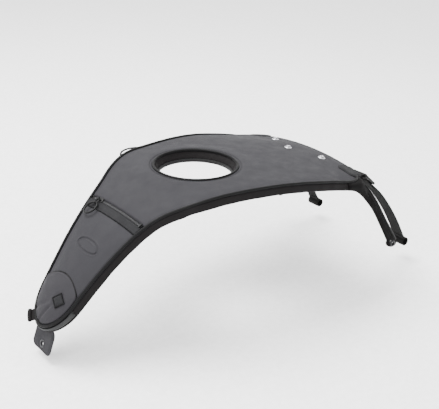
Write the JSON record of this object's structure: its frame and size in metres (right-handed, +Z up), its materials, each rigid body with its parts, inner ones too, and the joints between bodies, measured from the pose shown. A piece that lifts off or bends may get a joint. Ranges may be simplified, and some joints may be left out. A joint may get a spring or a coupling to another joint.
{
  "type": "motorcycle tank cover",
  "caption": "Form-fitted motorcycle tank cover with a zipped rear pocket, a round filler opening, snap studs, edge piping and buckled front straps.",
  "frame": {"origin": "centre of the fuel filler opening, level with the top of the cover", "axes": "+X forward to the steering head, +Y to the rider's left, +Z up along the filler opening's axis"},
  "size_m": [0.6408, 0.2648, 0.2128],
  "materials": {
    "leatherette": "fine-grained dark grey leatherette, matt with a soft sheen",
    "patch_leatherette": "slightly darker padded leatherette",
    "dark_leatherette": "near-black leatherette",
    "piping": "black vinyl piping",
    "hem_rubber": "matt black moulded rubber hem",
    "foam": "closed-cell foam",
    "liner": "thin black nylon liner",
    "felt": "soft brushed lining that protects the paint",
    "zip_tape": "woven zip tape",
    "zip_teeth": "black moulded teeth",
    "slider_metal": "black-enamelled metal",
    "stud_chrome": "polished nickel-plated brass",
    "washer_steel": "plain steel",
    "eyelet_steel": "blackened steel",
    "lock_plastic": "black acetal",
    "webbing": "black woven webbing"
  },
  "bodies": {
    "cover": {"base_lining": "felt", "corner_patch_left": "patch_leatherette", "corner_patch_right": "patch_leatherette", "edge_piping_left": "piping", "edge_piping_right": "piping", "filler_collar": "dark_leatherette", "filler_hem_ring": "hem_rubber", "filler_rim_piping": "piping", "front_hem": "dark_leatherette", "left_edge_loop": "leatherette", "lock_loop_left": "webbing", "lock_loop_right": "webbing", "pocket_liner_inner": "liner", "pocket_liner_outer": "liner", "pocket_panel": "leatherette", "skirt_left": "dark_leatherette", "skirt_right": "dark_leatherette", "stud_caps": "stud_chrome", "stud_washers": "washer_steel", "tail_badge": "patch_leatherette", "tail_binding": "piping", "tail_eyelet": "eyelet_steel", "tail_patch": "patch_leatherette", "tail_piping": "piping", "tail_side_tab": "dark_leatherette", "tail_skirt": "dark_leatherette", "tail_tongue": "dark_leatherette", "top_foam": "foam", "top_panel": "leatherette", "wing_eyelet_left": "eyelet_steel", "wing_eyelet_right": "eyelet_steel", "wing_piping_left": "piping", "wing_piping_right": "piping", "wing_shoulder_left": "leatherette", "wing_shoulder_right": "leatherette", "wing_strap_left": "leatherette", "wing_strap_right": "leatherette", "zip_placket": "dark_leatherette", "zip_stops": "zip_teeth", "zip_tape_lower": "zip_tape", "zip_tape_upper": "zip_tape", "zip_teeth_lower": "zip_teeth", "zip_teeth_upper": "zip_teeth"},
    "zip_slider_body": {"zip_slider": "slider_metal"},
    "pull_link_body": {"zip_pull_link": "slider_metal"},
    "pull_ring_body": {"zip_pull_ring": "slider_metal"},
    "strap_left_body": {"ladder_lock_left": "lock_plastic", "strap_weave_left": "webbing", "front_strap_left": "webbing", "strap_end_left": "webbing"},
    "strap_right_body": {"ladder_lock_right": "lock_plastic", "strap_weave_right": "webbing", "front_strap_right": "webbing", "strap_end_right": "webbing"}
  },
  "joints": [
    {"name": "zip_slider_travel", "type": "hinge", "parent": "cover", "child": "zip_slider_body", "pos_m": [-0.134, 0, -0.59882], "axis": [1, 0, 0], "range_deg": [0, 9.06]},
    {"name": "pull_link_lift", "type": "hinge", "parent": "zip_slider_body", "child": "pull_link_body", "pos_m": [-0.13638, 0.03924, -0.03359], "axis": [0, 0.9976, -0.0693], "range_deg": [0, 110]},
    {"name": "pull_ring_lift", "type": "hinge", "parent": "pull_link_body", "child": "pull_ring_body", "pos_m": [-0.14199, 0.03922, -0.03743], "axis": [0, 0.9976, -0.0693], "range_deg": [0, 90]},
    {"name": "front_strap_left_swing", "type": "hinge", "parent": "cover", "child": "strap_left_body", "pos_m": [0.243, 0.1, -0.0375], "axis": [0, -1, 0], "range_deg": [0, 40]},
    {"name": "front_strap_right_swing", "type": "hinge", "parent": "cover", "child": "strap_right_body", "pos_m": [0.243, -0.1, -0.0375], "axis": [0, -1, 0], "range_deg": [0, 40]}
  ]
}
